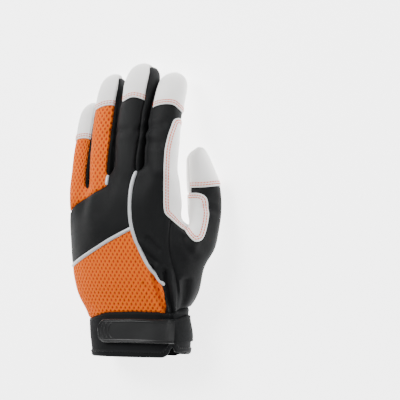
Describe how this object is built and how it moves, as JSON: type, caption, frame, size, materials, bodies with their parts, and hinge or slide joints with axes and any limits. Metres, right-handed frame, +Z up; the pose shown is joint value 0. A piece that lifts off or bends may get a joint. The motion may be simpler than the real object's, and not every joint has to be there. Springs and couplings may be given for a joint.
{
  "type": "chainsaw glove",
  "caption": "Left-hand work glove with a pale leather palm and fingertips, an orange mesh back with grey piping, and a black stretch cuff closed by a hook-and-loop strap.",
  "frame": {"origin": "centre of the glove's bounding box, on the surface it rests on", "axes": "+Y from the cuff to the fingertips, +X towards the thumb side, +Z up out of the back of the hand"},
  "size_m": [0.13, 0.2414, 0.0607],
  "materials": {
    "goat_leather": "grained",
    "stretch_fabric": "knitted",
    "neoprene": "matte",
    "air_mesh": "open mesh",
    "reflective_piping": "satin",
    "strap_webbing": "woven",
    "moulded_rubber": "satin"
  },
  "bodies": {
    "root": {"cuff": "neoprene", "palm_leather": "goat_leather", "web_patch": "goat_leather", "heel_tab": "goat_leather", "index_cap": "goat_leather", "middle_cap": "goat_leather", "ring_cap": "goat_leather", "little_cap": "goat_leather", "thumb_cap": "goat_leather", "hand_mesh_panel": "air_mesh", "finger_mesh_panel": "air_mesh", "band_panel": "stretch_fabric", "index_panel": "stretch_fabric", "thumb_panel": "stretch_fabric", "little_ring_fourchette": "stretch_fabric", "ring_middle_fourchette": "stretch_fabric", "middle_index_fourchette": "stretch_fabric", "main_piping": "reflective_piping", "band_piping": "reflective_piping", "crotch_piping": "reflective_piping", "strap_band": "strap_webbing", "strap_tab": "moulded_rubber"}
  },
  "joints": []
}
